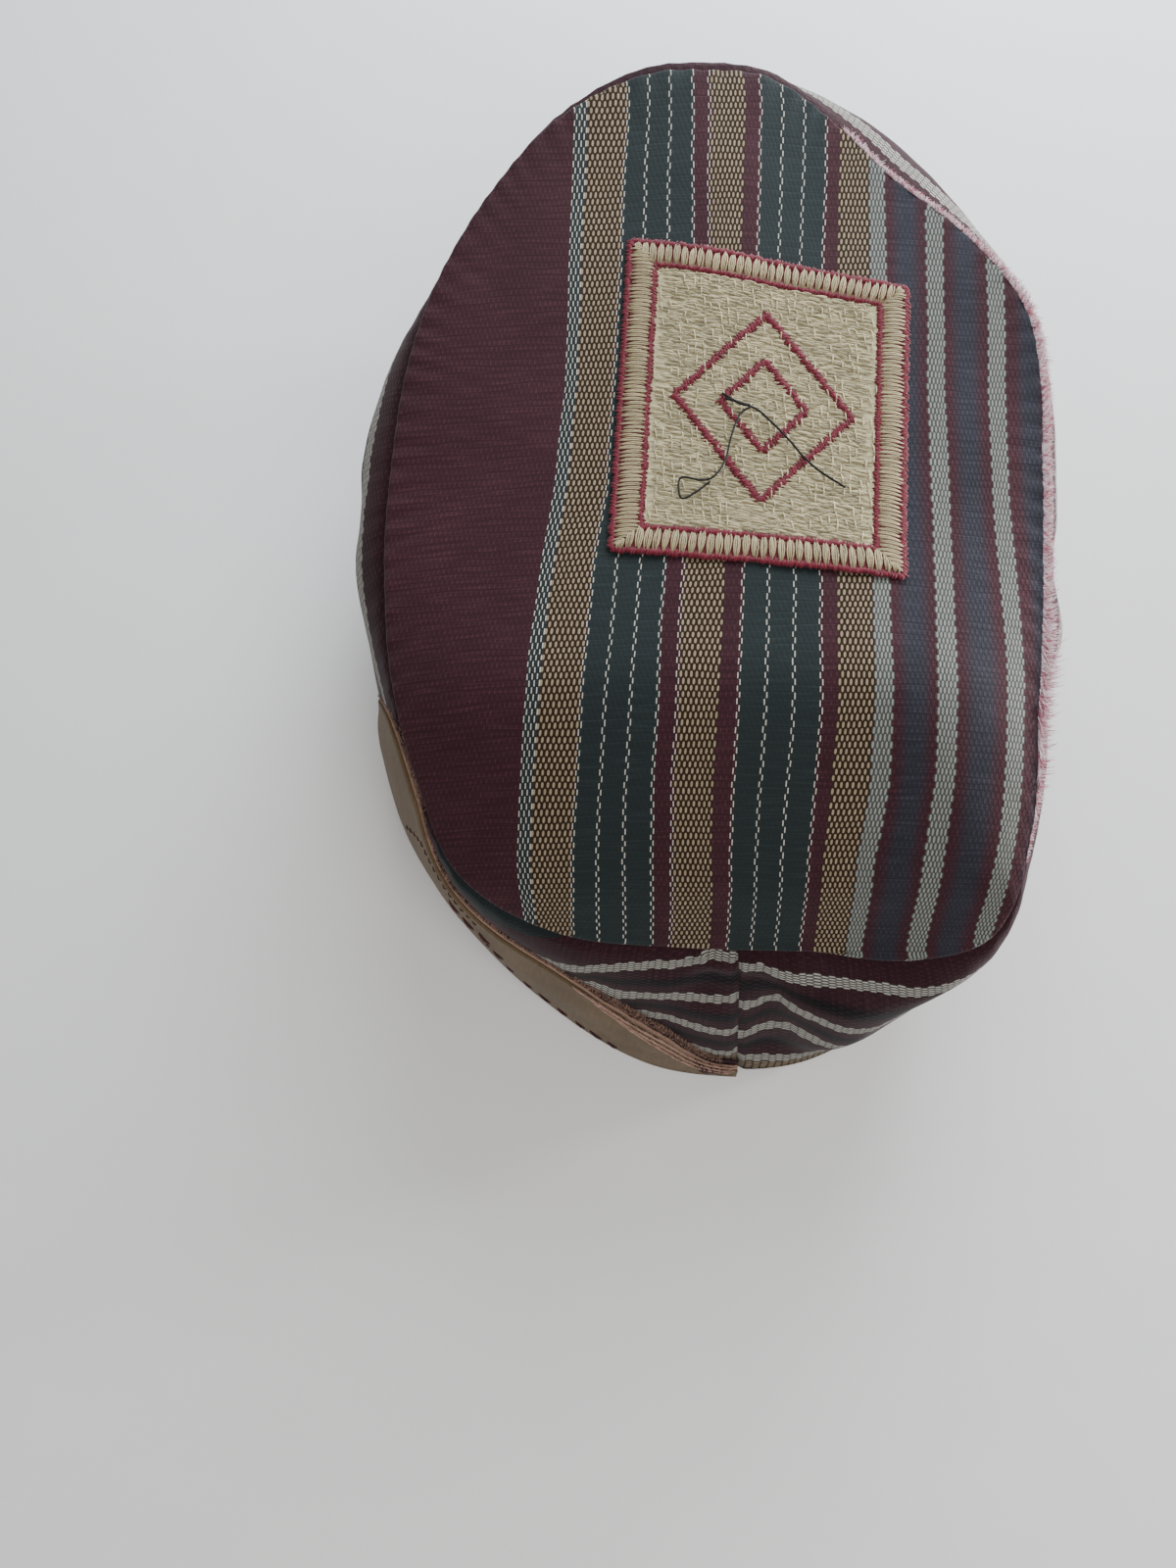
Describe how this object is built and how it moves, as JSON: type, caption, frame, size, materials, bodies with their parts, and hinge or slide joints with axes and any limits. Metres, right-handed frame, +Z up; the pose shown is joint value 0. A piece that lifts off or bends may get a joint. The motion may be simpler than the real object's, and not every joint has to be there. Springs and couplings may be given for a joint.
{
  "type": "aso oke cap",
  "caption": "Soft oval cap of striped hand-woven cloth: domed crown panel, side band with a turned-up lined cuff, and an embroidered geometric patch.",
  "frame": {"origin": "middle of the cap's bounding box, on the surface that the rim rests on", "axes": "+Z up through the crown, -Y towards the front as worn, +X towards the wearer's left"},
  "size_m": [0.1658, 0.2426, 0.0916],
  "materials": {
    "crown_cloth": "matt hand-woven cloth in wine, khaki, dark teal, grey and white stripes",
    "band_cloth": "matt hand-woven cloth in wine with grey stripes",
    "lining_cloth": "matt plain beige cotton",
    "embroidery": "satin-stitched cream thread with burgundy outlines"
  },
  "bodies": {
    "root": {"crown_panel": "crown_cloth", "side_band": "band_cloth", "lined_cuff": "lining_cloth", "embroidered_patch": "embroidery"}
  },
  "joints": []
}
